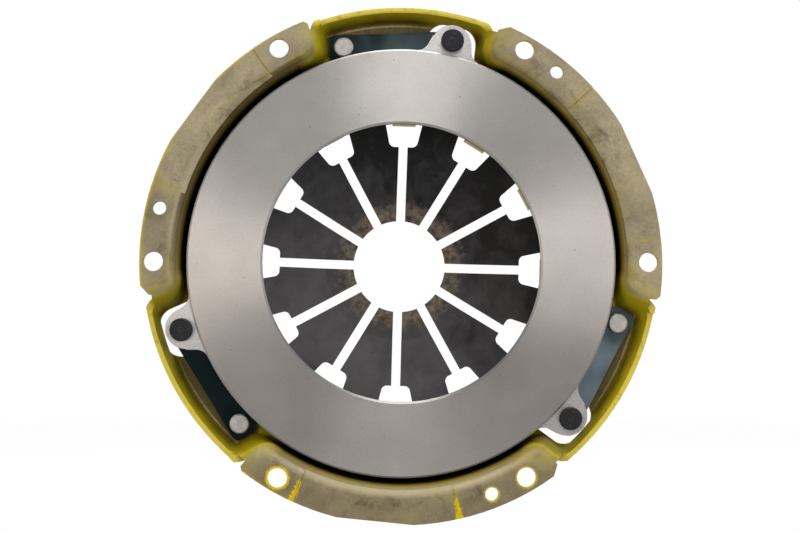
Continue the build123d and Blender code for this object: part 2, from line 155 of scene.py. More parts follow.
floor_radius = 2.5
floor_below_part = 0.05
floor_mesh = bpy.data.meshes.new("studio_floor")
sheet = bmesh.new()
bmesh.ops.create_circle(sheet, cap_ends=True, segments=96, radius=floor_radius)
bmesh.ops.translate(sheet, verts=sheet.verts, vec=(0, 0, cad_low.z - floor_below_part))
sheet.to_mesh(floor_mesh)
sheet.free()
studio_floor = bpy.data.objects.new("studio_floor", floor_mesh)
bpy.context.scene.collection.objects.link(studio_floor)
floor_paper, tree, shader, place = new_material("white_seamless_paper")
set_inputs(tree, shader, Base_Color=linear_colour("#A8A8A8"), Roughness=0.95, Specular_IOR_Level=0.1)
whitened = add_node(tree, "Math", {"operation": "MULTIPLY"}, i0=seen_directly(tree), i1=0.95).outputs[0]
paper_glow = add_node(tree, "Emission", Color=(1, 1, 1, 1), Strength=1.03).outputs[0]
paper = add_node(tree, "MixShader", i0=whitened, i1=shader.outputs[0], i2=paper_glow)
set_inputs(tree, tree.nodes["Material Output"], Surface=paper.outputs[0])
floor_mesh.materials.append(floor_paper)


def soft_lamp(name, place, size, watts, colour="#FFFFFF"):
    """A square softbox that faces the centre of the part."""
    lamp_data = bpy.data.lights.new(name, "AREA")
    lamp_data.shape = "RECTANGLE"
    lamp_data.size, lamp_data.size_y = size
    lamp_data.energy = watts
    lamp_data.color = linear_colour(colour)[:3]
    lamp = bpy.data.objects.new(name, lamp_data)
    lamp.location = place
    lamp.rotation_euler = (-Vector(place)).to_track_quat("-Z", "Y").to_euler()
    bpy.context.scene.collection.objects.link(lamp)


soft_lamp("left_softbox", (-0.68, -0.85, 0.00), (0.30, 0.5), 3.8, "#FFF4E4")
soft_lamp("right_softbox", (0.68, -0.85, 0.06), (0.30, 0.5), 2.95, "#F6F2FA")
soft_lamp("top_softbox", (0.06, -0.60, 0.56), (0.26, 0.26), 1.4)
soft_lamp("overhead_softbox", (0.05, -0.22, 1.00), (0.6, 0.4), 8.0)
soft_lamp("back_softbox", (0.3, 1.1, 0.8), (1.2, 1.2), 14)


# Pressure plate: a ring of grey cast iron with three lugs. Its face is ground to a fine round lay
# for the friction disc, the lug faces are milled, and the rest is left as cast.
lay_width = 0.0004
cloud_size = 0.035
grain_size = 0.0011
pit_spacing = 0.0065
cast_iron, tree, shader, place = new_material("ground_cast_iron")
# Ground iron: even pale grey, bright where its round lay turns towards a lamp. Cast skin: darker and grainy.
axes = add_node(tree, "SeparateXYZ", i0=place).outputs
flat_place = add_node(tree, "CombineXYZ", X=axes["X"], Z=axes["Z"]).outputs[0]
radius = add_node(tree, "VectorMath", {"operation": "LENGTH"}, i0=flat_place).outputs["Value"]
across_lay = add_node(tree, "VectorMath", {"operation": "NORMALIZE"}, i0=flat_place).outputs[0]
facing = add_node(tree, "SeparateXYZ", i0=add_node(tree, "NewGeometry").outputs["Normal"]).outputs["Y"]
front = add_node(tree, "MapRange", Value=facing, From_Min=-0.55, From_Max=-0.68).outputs[0]
on_ring = add_node(tree, "MapRange", Value=axes["Y"], From_Min=0.0033, From_Max=0.0031).outputs[0]
on_lug = add_node(tree, "MapRange", Value=axes["Y"], From_Min=0.0046, From_Max=0.0040).outputs[0]
ground = add_node(tree, "Math", {"operation": "MULTIPLY"}, i0=front, i1=on_ring).outputs[0]
milled = add_node(tree, "Math", {"operation": "MULTIPLY"}, i0=front, i1=on_lug).outputs[0]
# The grinding lay is 0.05 mm in the real face and is drawn 0.4 mm wide, so that it shows
lay_line = add_node(
    tree, "TexNoise", {"noise_dimensions": "1D"}, W=radius, Scale=1 / lay_width, Detail=3.0, Roughness=0.6
).outputs[0]
cloud = add_node(tree, "TexNoise", i0=place, Scale=1 / cloud_size, Detail=4.0, Roughness=0.55).outputs[0]
grain = add_node(tree, "TexNoise", i0=place, Scale=1 / grain_size, Detail=3.0, Roughness=0.6).outputs[0]
pits = add_node(
    tree, "TexVoronoi", {"feature": "F1"}, i0=place, Scale=1 / pit_spacing, Randomness=1.0
).outputs["Distance"]
pit_mask = add_node(tree, "MapRange", Value=pits, From_Min=0.060, From_Max=0.040, To_Max=0.8).outputs[0]
bright = add_node(tree, "ValToRGB", {"stops": ((0.3, "#989490"), (0.72, "#A6A29E"))}, Fac=cloud)
# Painted shade: the ground face is darker towards the bottom of the ring, away from the top lamp
lower_ring_shade = add_node(tree, "MapRange", Value=axes["Z"], From_Min=0.03, From_Max=-0.05, To_Max=1.0).outputs[0]
even_tone = add_node(
    tree,
    "Mix",
    {"data_type": "RGBA", "blend_type": "MULTIPLY"},
    i0=lower_ring_shade,
    i6=bright.outputs[0],
    i7=linear_colour("#DCDAD8"),
).outputs[2]
open_grain = add_node(tree, "MapRange", Value=grain, From_Min=0.45, From_Max=0.70, To_Max=0.16).outputs[0]
ground_tone = add_node(
    tree,
    "Mix",
    {"data_type": "RGBA", "blend_type": "MULTIPLY"},
    i0=open_grain,
    i6=even_tone,
    i7=linear_colour("#C2C0BE"),
).outputs[2]
skin = add_node(tree, "ValToRGB", {"stops": ((0.3, "#2E2B29"), (0.7, "#47433F"))}, Fac=grain)
lug_tone = add_node(tree, "ValToRGB", {"stops": ((0.3, "#9A9795"), (0.7, "#B2AFAD"))}, Fac=grain)
cast_or_lug = add_node(
    tree, "Mix", {"data_type": "RGBA"}, i0=milled, i6=skin.outputs[0], i7=lug_tone.outputs[0]
).outputs[2]
clean = add_node(tree, "Mix", {"data_type": "RGBA"}, i0=ground, i6=cast_or_lug, i7=ground_tone).outputs[2]
pitted = add_node(
    tree, "Mix", {"data_type": "RGBA"}, i0=pit_mask, i6=clean, i7=linear_colour("#6B6866")
).outputs[2]
rough_lug = add_node(tree, "Mix", {"data_type": "FLOAT"}, i0=milled, i2=0.78, i3=0.50).outputs[0]
rough = add_node(tree, "Mix", {"data_type": "FLOAT"}, i0=ground, i2=rough_lug, i3=0.43).outputs[0]
height = add_node(tree, "Mix", {"data_type": "FLOAT"}, i0=ground, i2=grain, i3=lay_line).outputs[0]
depth_of_bump = add_node(tree, "Mix", {"data_type": "FLOAT"}, i0=ground, i2=0.35, i3=0.12).outputs[0]
bump = add_node(tree, "Bump", Strength=depth_of_bump, Distance=0.0002, Height=height).outputs[0]
set_inputs(
    tree,
    shader,
    Base_Color=pitted,
    Metallic=1.0,
    Roughness=rough,
    Anisotropic=0.9,
    Tangent=across_lay,
    Normal=bump,
)


def finish_node(name, material):
    """Gives a CAD node its material in every slot."""
    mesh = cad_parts[name].data
    if not mesh.materials:
        mesh.materials.append(material)
    for index in range(len(mesh.materials)):
        mesh.materials[index] = material


finish_node("pressure_plate", cast_iron)


# Lug rivets: three steel rivets with blackened heads, closed over the strap packs at the back of the lugs.
# The punch left a shallow ringed mark in the middle of each head.
def rivet_place(tree, place, circle_radius, first_angle):
    """Each of three rivets' own radial distance, folded onto one rivet by turning the place in thirds."""
    axes = add_node(tree, "SeparateXYZ", i0=place).outputs
    angle = add_node(tree, "Math", {"operation": "ARCTAN2"}, i0=axes["Z"], i1=axes["X"]).outputs[0]
    third = 2 * math.pi / 3
    fold_start = math.radians(first_angle) - third / 2
    shifted = add_node(tree, "Math", {"operation": "SUBTRACT"}, i0=angle, i1=fold_start).outputs[0]
    folded = add_node(tree, "Math", {"operation": "WRAP"}, i0=shifted, i1=third, i2=0.0).outputs[0]
    near = add_node(tree, "Math", {"operation": "SUBTRACT"}, i0=folded, i1=third / 2).outputs[0]
    flat_place = add_node(tree, "CombineXYZ", X=axes["X"], Z=axes["Z"]).outputs[0]
    radius = add_node(tree, "VectorMath", {"operation": "LENGTH"}, i0=flat_place).outputs["Value"]
    across = add_node(tree, "Math", {"operation": "MULTIPLY"}, i0=near, i1=radius).outputs[0]
    outwards = add_node(tree, "Math", {"operation": "SUBTRACT"}, i0=radius, i1=circle_radius).outputs[0]
    own = add_node(tree, "CombineXYZ", X=across, Y=outwards).outputs[0]
    return add_node(tree, "VectorMath", {"operation": "LENGTH"}, i0=own).outputs["Value"]


rivet_circle = 0.1069
lug_rivet_angle = 77.17
punch_mark_radius = 0.0011
head_ring_pitch = 0.0011
black_rivet, tree, shader, place = new_material("blackened_rivet_steel")
# Oxide black: nearly black with a soft sheen, rubbed grey in light scuffs and round the edge
from_centre = rivet_place(tree, place, rivet_circle, lug_rivet_angle)
scuff = add_node(tree, "TexNoise", i0=place, Scale=1 / 0.0021, Detail=5.0, Roughness=0.62).outputs[0]
streak_place = add_node(tree, "Mapping", Vector=place, Scale=(1.0, 1.0, 5.0)).outputs[0]
streak = add_node(tree, "TexNoise", i0=streak_place, Scale=1 / 0.004, Detail=4.0, Roughness=0.6).outputs[0]
worn = add_node(tree, "Math", {"operation": "MULTIPLY"}, i0=scuff, i1=streak).outputs[0]
edge = add_node(tree, "MapRange", Value=from_centre, From_Min=0.0047, From_Max=0.0055, To_Max=0.12).outputs[0]
off_ring = add_node(tree, "Math", {"operation": "SUBTRACT"}, i0=from_centre, i1=punch_mark_radius).outputs[0]
ring_away = add_node(tree, "Math", {"operation": "ABSOLUTE"}, i0=off_ring).outputs[0]
punch_mark = add_node(
    tree, "MapRange", Value=ring_away, From_Min=0.0005, From_Max=0.0001, To_Max=0.14
).outputs[0]
worn_more = add_node(tree, "Math", {"operation": "ADD"}, i0=worn, i1=edge).outputs[0]
worn_all = add_node(tree, "Math", {"operation": "ADD"}, i0=worn_more, i1=punch_mark).outputs[0]
tone = add_node(tree, "ValToRGB", {"stops": ((0.2, "#0B0B0E"), (0.56, "#2A2A30"))}, Fac=worn_all)
ring_phase = add_node(
    tree, "Math", {"operation": "MULTIPLY"}, i0=from_centre, i1=2 * math.pi / head_ring_pitch
).outputs[0]
rings = add_node(tree, "Math", {"operation": "SINE"}, i0=ring_phase).outputs[0]
relief = add_node(tree, "Math", {"operation": "ADD"}, i0=rings, i1=scuff).outputs[0]
bump = add_node(tree, "Bump", Strength=0.25, Distance=0.0001, Height=relief).outputs[0]
set_inputs(tree, shader, Base_Color=tone.outputs[0], Metallic=0.6, Roughness=0.5, Normal=bump)
finish_node("lug_rivets", black_rivet)


# Drive straps: three packs of three thin leaves of blued spring steel. A pack is riveted to a lug at one
# end and to the cover's ledge at the other, and it bends in an S as the plate lifts.
strap_packs = 3
strap_leaves = 3
strap_stations = 26
strap_clamp = 0.0072
cover_rivet_angle = 104.81
blued_steel, tree, shader, place = new_material("blued_spring_steel")
# Blued strip: a smooth dark teal. The tempering tint clouds it grey-blue here and there, with a few faint
# rubs, and painted shade darkens it towards the left, nearly black on the lower left strap.
tint = add_node(tree, "TexNoise", i0=place, Scale=1 / 0.018, Detail=2.0, Roughness=0.45).outputs[0]
rub = add_node(tree, "TexNoise", i0=place, Scale=1 / 0.0016, Detail=5.0, Roughness=0.65).outputs[0]
sideways = add_node(tree, "SeparateXYZ", i0=place).outputs["X"]
# Painted shade: the straps grow darker towards the left
left_shade = add_node(
    tree, "MapRange", Value=sideways, From_Min=-0.08, From_Max=0.095, To_Min=-0.50, To_Max=0.18
).outputs[0]
tint_and_left_shade = add_node(tree, "Math", {"operation": "ADD"}, i0=tint, i1=left_shade).outputs[0]
blued_stops = ((0.10, "#0B1719"), (0.50, "#39464A"), (0.85, "#5C6669"))
tone = add_node(tree, "ValToRGB", {"stops": blued_stops}, Fac=tint_and_left_shade)
from_rivet = rivet_place(tree, place, rivet_circle, cover_rivet_angle)
clamped = add_node(
    tree, "MapRange", Value=from_rivet, From_Min=0.0115, From_Max=0.0075, To_Max=0.75
).outputs[0]
seat_tone = add_node(
    tree,
    "Mix",
    {"data_type": "RGBA", "blend_type": "MULTIPLY"},
    i0=clamped,
    i6=tone.outputs[0],
    i7=linear_colour("#A0A0A0"),
).outputs[2]
rub_mask = add_node(tree, "MapRange", Value=rub, From_Min=0.62, From_Max=0.82, To_Max=0.3).outputs[0]
rubbed = add_node(
    tree, "Mix", {"data_type": "RGBA"}, i0=rub_mask, i6=seat_tone, i7=linear_colour("#4E585B")
).outputs[2]
tint_roughness = add_node(
    tree, "MapRange", Value=tint, From_Min=0.3, From_Max=0.7, To_Min=0.36, To_Max=0.5
).outputs[0]
bump = add_node(tree, "Bump", Strength=0.04, Distance=0.0001, Height=rub).outputs[0]
set_inputs(tree, shader, Base_Color=rubbed, Metallic=0.9, Roughness=tint_roughness, Normal=bump)
# Each leaf is cut across at even steps between its two clamped ends
for pack in range(strap_packs):
    ends = []
    for angle in (cover_rivet_angle, lug_rivet_angle):
        turn = math.radians(angle + 360 / strap_packs * pack)
        ends.append(Vector((rivet_circle * math.cos(turn), 0, rivet_circle * math.sin(turn))))
    along = (ends[1] - ends[0]).normalized()
    start, end = ends[0] + along * strap_clamp, ends[1] - along * strap_clamp
    for leaf in range(strap_leaves):
        node_name = f"strap_{pack + 1}_leaf_{leaf + 1}"
        mesh = bpy.data.meshes.new(f"blued_strap_{pack + 1}_{leaf + 1}")
        strip = bmesh.new()
        strip.from_mesh(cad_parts[node_name].data)
        bmesh.ops.remove_doubles(strip, verts=strip.verts, dist=1e-6)
        bmesh.ops.dissolve_limit(strip, angle_limit=math.radians(1), verts=strip.verts, edges=strip.edges)
        for station in range(1, strap_stations):
            cut = start.lerp(end, station / strap_stations)
            everything = strip.verts[:] + strip.edges[:] + strip.faces[:]
            bmesh.ops.bisect_plane(strip, geom=everything, dist=1e-7, plane_co=cut, plane_no=along)
        bmesh.ops.recalc_face_normals(strip, faces=strip.faces)
        strip.to_mesh(mesh)
        strip.free()
        mesh.shade_smooth()
        mesh.set_sharp_from_angle(angle=math.radians(30))
        mesh.materials.clear()
        mesh.materials.append(blued_steel)
        strap = bpy.data.objects.new(f"blued_strap_{pack + 1}_{leaf + 1}", mesh)
        bpy.context.scene.collection.objects.link(strap)
        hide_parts(node_name)
        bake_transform(strap)


# Cover: one deep pressing of steel sheet. It is sprayed gold-yellow from behind, so the paint is full on
# the back and the cut edges, thin on the walls of the bays, and only dusts the flange faces, where bare
# steel shows.
sector_pitch = 120.0
crease_angles = (5.0, 42.7)
bay_middle_angle = 90.0
notch_middle_angle = 89.0
floor_highlight_radius = 0.1143
bolt_hole_low_left = (-0.0575, 0.0, -0.0996)
bolt_hole_low_right = (0.0575, 0.0, -0.0996)
dowel_hole_low = (0.0414, 0.0, -0.1073)
sprayed_steel, tree, shader, place = new_material("sprayed_deep_drawn_steel")
# Yellow enamel: clear on edges and back, olive where it is thin, with painted shade deep in the bays and down
# the
# inner bend. Bare sheet: dull tan grey, smeared and marked by handling.
axes = add_node(tree, "SeparateXYZ", i0=place).outputs
flat_place = add_node(tree, "CombineXYZ", X=axes["X"], Z=axes["Z"]).outputs[0]
radius = add_node(tree, "VectorMath", {"operation": "LENGTH"}, i0=flat_place).outputs["Value"]
outward = add_node(tree, "VectorMath", {"operation": "NORMALIZE"}, i0=flat_place).outputs[0]
angle = add_node(tree, "Math", {"operation": "ARCTAN2"}, i0=axes["Z"], i1=axes["X"]).outputs[0]
degrees = add_node(tree, "Math", {"operation": "MULTIPLY"}, i0=angle, i1=180 / math.pi).outputs[0]
sector_angle = add_node(tree, "Math", {"operation": "WRAP"}, i0=degrees, i1=sector_pitch, i2=0.0).outputs[0]
surface_way = add_node(tree, "NewGeometry").outputs["Normal"]
facing = add_node(tree, "SeparateXYZ", i0=surface_way).outputs["Y"]
front = add_node(
    tree, "MapRange", {"interpolation_type": "SMOOTHSTEP"}, Value=facing, From_Min=-0.30, From_Max=-0.92
).outputs[0]
leaning_out = add_node(
    tree, "VectorMath", {"operation": "DOT_PRODUCT"}, i0=surface_way, i1=outward
).outputs["Value"]
leaning_in = add_node(tree, "MapRange", Value=leaning_out, From_Min=0.05, From_Max=-0.25).outputs[0]
side_way = add_node(tree, "VectorMath", {"operation": "CROSS_PRODUCT"}, i0=(0, 1, 0), i1=outward).outputs[0]
sideways = add_node(
    tree, "VectorMath", {"operation": "DOT_PRODUCT"}, i0=surface_way, i1=side_way
).outputs["Value"]
past_middle = add_node(
    tree,
    "MapRange",
    Value=sector_angle,
    From_Min=bay_middle_angle - 1,
    From_Max=bay_middle_angle + 1,
    To_Min=-1.0,
).outputs[0]
to_bay_middle = add_node(tree, "Math", {"operation": "MULTIPLY"}, i0=sideways, i1=past_middle).outputs[0]
end_wall = add_node(tree, "MapRange", Value=to_bay_middle, From_Min=0.15, From_Max=0.40).outputs[0]
inner_wall = add_node(tree, "Math", {"operation": "MAXIMUM"}, i0=leaning_in, i1=end_wall).outputs[0]
towards_front = add_node(tree, "MapRange", Value=facing, From_Min=-0.05, From_Max=-0.30).outputs[0]
beyond_tabs = add_node(tree, "MapRange", Value=radius, From_Min=0.086, From_Max=0.090).outputs[0]
inner_face = add_node(tree, "Math", {"operation": "MAXIMUM"}, i0=towards_front, i1=inner_wall).outputs[0]
inside = add_node(tree, "Math", {"operation": "MULTIPLY"}, i0=beyond_tabs, i1=inner_face).outputs[0]
smear = add_node(
    tree, "TexNoise", i0=place, Scale=1 / 0.022, Detail=6.0, Roughness=0.62, Distortion=0.8
).outputs[0]
speckle = add_node(tree, "TexNoise", i0=place, Scale=1 / 0.0013, Detail=4.0, Roughness=0.7).outputs[0]
mark = add_node(tree, "TexNoise", i0=place, Scale=1 / 0.045, Detail=3.0, Roughness=0.5).outputs[0]
steel = add_node(tree, "ValToRGB", {"stops": ((0.3, "#857B63"), (0.72, "#A89E82"))}, Fac=smear)
mark_mask = add_node(tree, "MapRange", Value=mark, From_Min=0.52, From_Max=0.72, To_Max=0.55).outputs[0]
marked = add_node(
    tree,
    "Mix",
    {"data_type": "RGBA", "blend_type": "MULTIPLY"},
    i0=mark_mask,
    i6=steel.outputs[0],
    i7=linear_colour("#9A9090"),
).outputs[2]
grain_mask = add_node(tree, "MapRange", Value=speckle, From_Min=0.40, From_Max=0.66, To_Max=0.38).outputs[0]
grainy = add_node(
    tree,
    "Mix",
    {"data_type": "RGBA", "blend_type": "MULTIPLY"},
    i0=grain_mask,
    i6=marked,
    i7=linear_colour("#B8AEA2"),
).outputs[2]
# Grime of handling sits in broken smudges where the flange starts to bend
grime = add_node(
    tree, "TexNoise", i0=place, Scale=1 / 0.011, Detail=7.0, Roughness=0.72, Distortion=0.6
).outputs[0]
by_the_bend = add_node(tree, "MapRange", Value=radius, From_Min=0.1165, From_Max=0.1120).outputs[0]
grime_mask = add_node(tree, "MapRange", Value=grime, From_Min=0.52, From_Max=0.68, To_Max=0.75).outputs[0]
smudge = add_node(tree, "Math", {"operation": "MULTIPLY"}, i0=by_the_bend, i1=grime_mask).outputs[0]
grimy = add_node(
    tree,
    "Mix",
    {"data_type": "RGBA", "blend_type": "MULTIPLY"},
    i0=smudge,
    i6=grainy,
    i7=linear_colour("#8F8A80"),
).outputs[2]
# The flange is darker towards the bottom
low_down = add_node(tree, "MapRange", Value=axes["Z"], From_Min=-0.080, From_Max=-0.100).outputs[0]
darker_low = add_node(
    tree,
    "Mix",
    {"data_type": "RGBA", "blend_type": "MULTIPLY"},
    i0=low_down,
    i6=grimy,
    i7=linear_colour("#DAD7CE"),
).outputs[2]
# Painted highlight: there, and less on the far left, the start of the bend is paler, where it turns to the
# light
on_bend = add_node(tree, "MapRange", Value=radius, From_Min=0.1096, From_Max=0.1070, To_Max=0.55).outputs[0]
far_left = add_node(
    tree, "MapRange", Value=axes["X"], From_Min=-0.085, From_Max=-0.100, To_Max=0.7
).outputs[0]
highlight_side = add_node(tree, "Math", {"operation": "MAXIMUM"}, i0=low_down, i1=far_left).outputs[0]
bend_highlight = add_node(tree, "Math", {"operation": "MULTIPLY"}, i0=on_bend, i1=highlight_side).outputs[0]
bend_highlit = add_node(
    tree, "Mix", {"data_type": "RGBA"}, i0=bend_highlight, i6=darker_low, i7=linear_colour("#BDB28E")
).outputs[2]
# Painted shade: the sheet darkens down its inner bend into the gap by the plate, and overspray yellows it
# there. The upper left gets more painted shade
bend_depth = add_node(tree, "MapRange", Value=axes["Y"], From_Min=0.0, From_Max=0.006).outputs[0]
bend_shade_stops = ((0.02, "#FFFFFF"), (0.12, "#D8D4C4"), (0.34, "#A49C7C"), (0.62, "#686144"), (1.0, "#14120A"))
bend_shade = add_node(tree, "ValToRGB", {"stops": bend_shade_stops}, Fac=bend_depth)
on_wall = add_node(tree, "MapRange", Value=radius, From_Min=0.096, From_Max=0.100).outputs[0]
short_of_flange = add_node(tree, "MapRange", Value=radius, From_Min=0.1105, From_Max=0.1085).outputs[0]
near_drum = add_node(tree, "Math", {"operation": "MULTIPLY"}, i0=on_wall, i1=short_of_flange).outputs[0]
past_bay_middle = add_node(
    tree, "Math", {"operation": "SUBTRACT"}, i0=sector_angle, i1=bay_middle_angle
).outputs[0]
from_bay = add_node(tree, "Math", {"operation": "ABSOLUTE"}, i0=past_bay_middle).outputs[0]
past_bay = add_node(tree, "MapRange", Value=from_bay, From_Min=22.0, From_Max=28.0).outputs[0]
bending_in = add_node(tree, "MapRange", Value=leaning_out, From_Min=-0.02, From_Max=-0.16).outputs[0]
drum_side = add_node(tree, "Math", {"operation": "MULTIPLY"}, i0=near_drum, i1=bending_in).outputs[0]
on_drum = add_node(tree, "Math", {"operation": "MULTIPLY"}, i0=past_bay, i1=drum_side).outputs[0]
floor_of_bay = add_node(tree, "MapRange", Value=axes["Y"], From_Min=0.0115, From_Max=0.0150).outputs[0]
high_left_way = (-0.6, 0.0, 0.8)
high_left = add_node(
    tree, "VectorMath", {"operation": "DOT_PRODUCT"}, i0=place, i1=high_left_way
).outputs["Value"]
upper_left_shade_mask = add_node(tree, "MapRange", Value=high_left, From_Min=0.045, From_Max=0.085).outputs[0]
upper_left_shade_tone = add_node(
    tree, "Mix", {"data_type": "RGBA"}, i0=upper_left_shade_mask, i6=linear_colour("#FFFFFF"), i7=linear_colour("#B2ACA0")
).outputs[2]
drum_tone = add_node(
    tree,
    "Mix",
    {"data_type": "RGBA", "blend_type": "MULTIPLY"},
    i0=1.0,
    i6=bend_shade.outputs[0],
    i7=upper_left_shade_tone,
).outputs[2]
sheet_tone = add_node(
    tree, "Mix", {"data_type": "RGBA", "blend_type": "MULTIPLY"}, i0=on_drum, i6=bend_highlit, i7=drum_tone
).outputs[2]
full_enamel = add_node(tree, "ValToRGB", {"stops": ((0.25, "#B89A18"), (0.75, "#D2B72A"))}, Fac=smear)
# The spray thins towards the bottom of a bay, and painted shade deepens there, so the inner walls run from
# yellow at the rim to dark olive
depth_of_wall = add_node(tree, "MapRange", Value=axes["Y"], From_Min=0.0090, From_Max=0.0175).outputs[0]
# Painted light: the walls by the lug window and at the ends of a bay are painted lighter, and the spray
# reaches all of them
lug_side = add_node(tree, "MapRange", Value=sector_angle, From_Min=87.0, From_Max=81.0).outputs[0]
at_bay_end = add_node(tree, "MapRange", Value=from_bay, From_Min=16.5, From_Max=18.5).outputs[0]
open_wall_lit_and_sprayed = add_node(tree, "Math", {"operation": "MAXIMUM"}, i0=lug_side, i1=at_bay_end).outputs[0]
mottled_depth = add_node(
    tree, "MapRange", Value=smear, From_Min=0.3, From_Max=0.7, To_Min=-0.20, To_Max=0.20
).outputs[0]
thinned_and_shaded = add_node(tree, "Math", {"operation": "ADD"}, i0=depth_of_wall, i1=mottled_depth).outputs[0]
# Painted light: the two lower bays, whose walls face up to the light, are painted lighter than the upper one
lower_bays_lit = add_node(tree, "MapRange", Value=axes["Z"], From_Min=0.02, From_Max=-0.02).outputs[0]
lower_depth = add_node(
    tree, "Math", {"operation": "MULTIPLY_ADD"}, i0=lower_bays_lit, i1=-0.22, i2=thinned_and_shaded
).outputs[0]
wall_depth = add_node(
    tree, "Math", {"operation": "MULTIPLY_ADD"}, i0=open_wall_lit_and_sprayed, i1=-0.55, i2=lower_depth
).outputs[0]
wall_enamel_shaded = add_node(tree, "ValToRGB", {"stops": ((0.0, "#B2A114"), (1.0, "#5C4E04"))}, Fac=wall_depth)
drum_shade = add_node(
    tree,
    "Mix",
    {"data_type": "RGBA", "blend_type": "MULTIPLY"},
    i0=on_drum,
    i6=wall_enamel_shaded.outputs[0],
    i7=drum_tone,
).outputs[2]
enamel = add_node(
    tree, "Mix", {"data_type": "RGBA"}, i0=inside, i6=full_enamel.outputs[0], i7=drum_shade
).outputs[2]
# Where the dust of paint is thick on the front faces: the inner bend, the two creases, and the notches
# and, on one side of the part, the outer edge
at_bend = add_node(tree, "MapRange", Value=radius, From_Min=0.1105, From_Max=0.1045, To_Max=0.35).outputs[0]
to_left = add_node(tree, "MapRange", Value=axes["X"], From_Min=-0.045, From_Max=-0.075).outputs[0]
at_edge = add_node(tree, "MapRange", Value=radius, From_Min=0.1188, From_Max=0.1214, To_Max=1.0).outputs[0]
left_edge = add_node(tree, "Math", {"operation": "MULTIPLY"}, i0=to_left, i1=at_edge).outputs[0]
near_crease = []
crease_away = []
for crease in crease_angles:
    past_crease = add_node(tree, "Math", {"operation": "SUBTRACT"}, i0=sector_angle, i1=crease).outputs[0]
    away = add_node(tree, "Math", {"operation": "ABSOLUTE"}, i0=past_crease).outputs[0]
    crease_away.append(away)
    near_crease.append(
        add_node(tree, "MapRange", Value=away, From_Min=2.6, From_Max=0.2, To_Max=0.5).outputs[0]
    )
creases = add_node(tree, "Math", {"operation": "MAXIMUM"}, i0=near_crease[0], i1=near_crease[1]).outputs[0]
past_notch_middle = add_node(
    tree, "Math", {"operation": "SUBTRACT"}, i0=sector_angle, i1=notch_middle_angle
).outputs[0]
notch_away = add_node(tree, "Math", {"operation": "ABSOLUTE"}, i0=past_notch_middle).outputs[0]
at_notch = add_node(tree, "MapRange", Value=notch_away, From_Min=28.0, From_Max=23.0, To_Max=0.7).outputs[0]
off_drum = add_node(tree, "Math", {"operation": "SUBTRACT"}, i0=1.0, i1=near_drum).outputs[0]
below_face = add_node(
    tree, "MapRange", Value=axes["Y"], From_Min=0.0008, From_Max=0.0035, To_Max=0.8
).outputs[0]
deep = add_node(tree, "Math", {"operation": "MULTIPLY"}, i0=below_face, i1=off_drum).outputs[0]
# The rim of a bay: its rounded inner side is olive and its outer side, by the cut edge, is bright
# Painted light widens the bright outer band of the rim in the two lower bays
rim_radius = add_node(
    tree, "Math", {"operation": "MULTIPLY_ADD"}, i0=lower_bays_lit, i1=0.0013, i2=radius
).outputs[0]
rim_way = add_node(tree, "MapRange", Value=rim_radius, From_Min=0.1178, From_Max=0.1202).outputs[0]
rim_tone = add_node(tree, "ValToRGB", {"stops": ((0.0, "#8A7C06"), (1.0, "#E2D052"))}, Fac=rim_way)
rub = add_node(
    tree, "TexNoise", i0=place, Scale=1 / 0.0045, Detail=5.0, Roughness=0.65, Distortion=0.5
).outputs[0]
rub_mask = add_node(tree, "MapRange", Value=rub, From_Min=0.54, From_Max=0.68, To_Max=0.55).outputs[0]
rubbed_rim = add_node(
    tree,
    "Mix",
    {"data_type": "RGBA", "blend_type": "MULTIPLY"},
    i0=rub_mask,
    i6=rim_tone.outputs[0],
    i7=linear_colour("#C09A58"),
).outputs[2]
on_rim = add_node(tree, "MapRange", Value=radius, From_Min=0.1155, From_Max=0.1165).outputs[0]
rim = add_node(tree, "Math", {"operation": "MULTIPLY"}, i0=deep, i1=on_rim).outputs[0]
# The dust lies in specks, which close up where it is thick
more = add_node(tree, "Math", {"operation": "MAXIMUM"}, i0=creases, i1=at_notch).outputs[0]
by_the_ends = add_node(tree, "MapRange", Value=notch_away, From_Min=42.0, From_Max=28.0).outputs[0]
low_band = add_node(tree, "MapRange", Value=radius, From_Min=0.1130, From_Max=0.1065, To_Max=0.85).outputs[0]
end_dust = add_node(tree, "Math", {"operation": "MULTIPLY"}, i0=by_the_ends, i1=low_band).outputs[0]
bend_dust = add_node(tree, "Math", {"operation": "MAXIMUM"}, i0=at_bend, i1=end_dust).outputs[0]
bend_or_edge = add_node(tree, "Math", {"operation": "MAXIMUM"}, i0=bend_dust, i1=left_edge).outputs[0]
most = add_node(tree, "Math", {"operation": "MAXIMUM"}, i0=more, i1=bend_or_edge).outputs[0]
deepest = add_node(tree, "Math", {"operation": "MAXIMUM"}, i0=most, i1=deep).outputs[0]
dusted = add_node(tree, "Math", {"operation": "MULTIPLY"}, i0=deepest, i1=0.50).outputs[0]
dust_noise = add_node(tree, "Math", {"operation": "MULTIPLY_ADD"}, i0=speckle, i1=1.1, i2=smear).outputs[0]
threshold = add_node(tree, "Math", {"operation": "SUBTRACT"}, i0=1.54, i1=dusted).outputs[0]
gap = add_node(tree, "Math", {"operation": "SUBTRACT"}, i0=dust_noise, i1=threshold).outputs[0]
laid_dust = add_node(tree, "MapRange", Value=gap, From_Min=-0.35, From_Max=0.30, To_Max=0.85).outputs[0]
# The dust is cleared from the painted highlight on the bend
clear_of_highlight = add_node(
    tree, "Math", {"operation": "MULTIPLY_ADD"}, i0=bend_highlight, i1=-0.75, i2=1.0
).outputs[0]
dust = add_node(tree, "Math", {"operation": "MULTIPLY"}, i0=laid_dust, i1=clear_of_highlight).outputs[0]
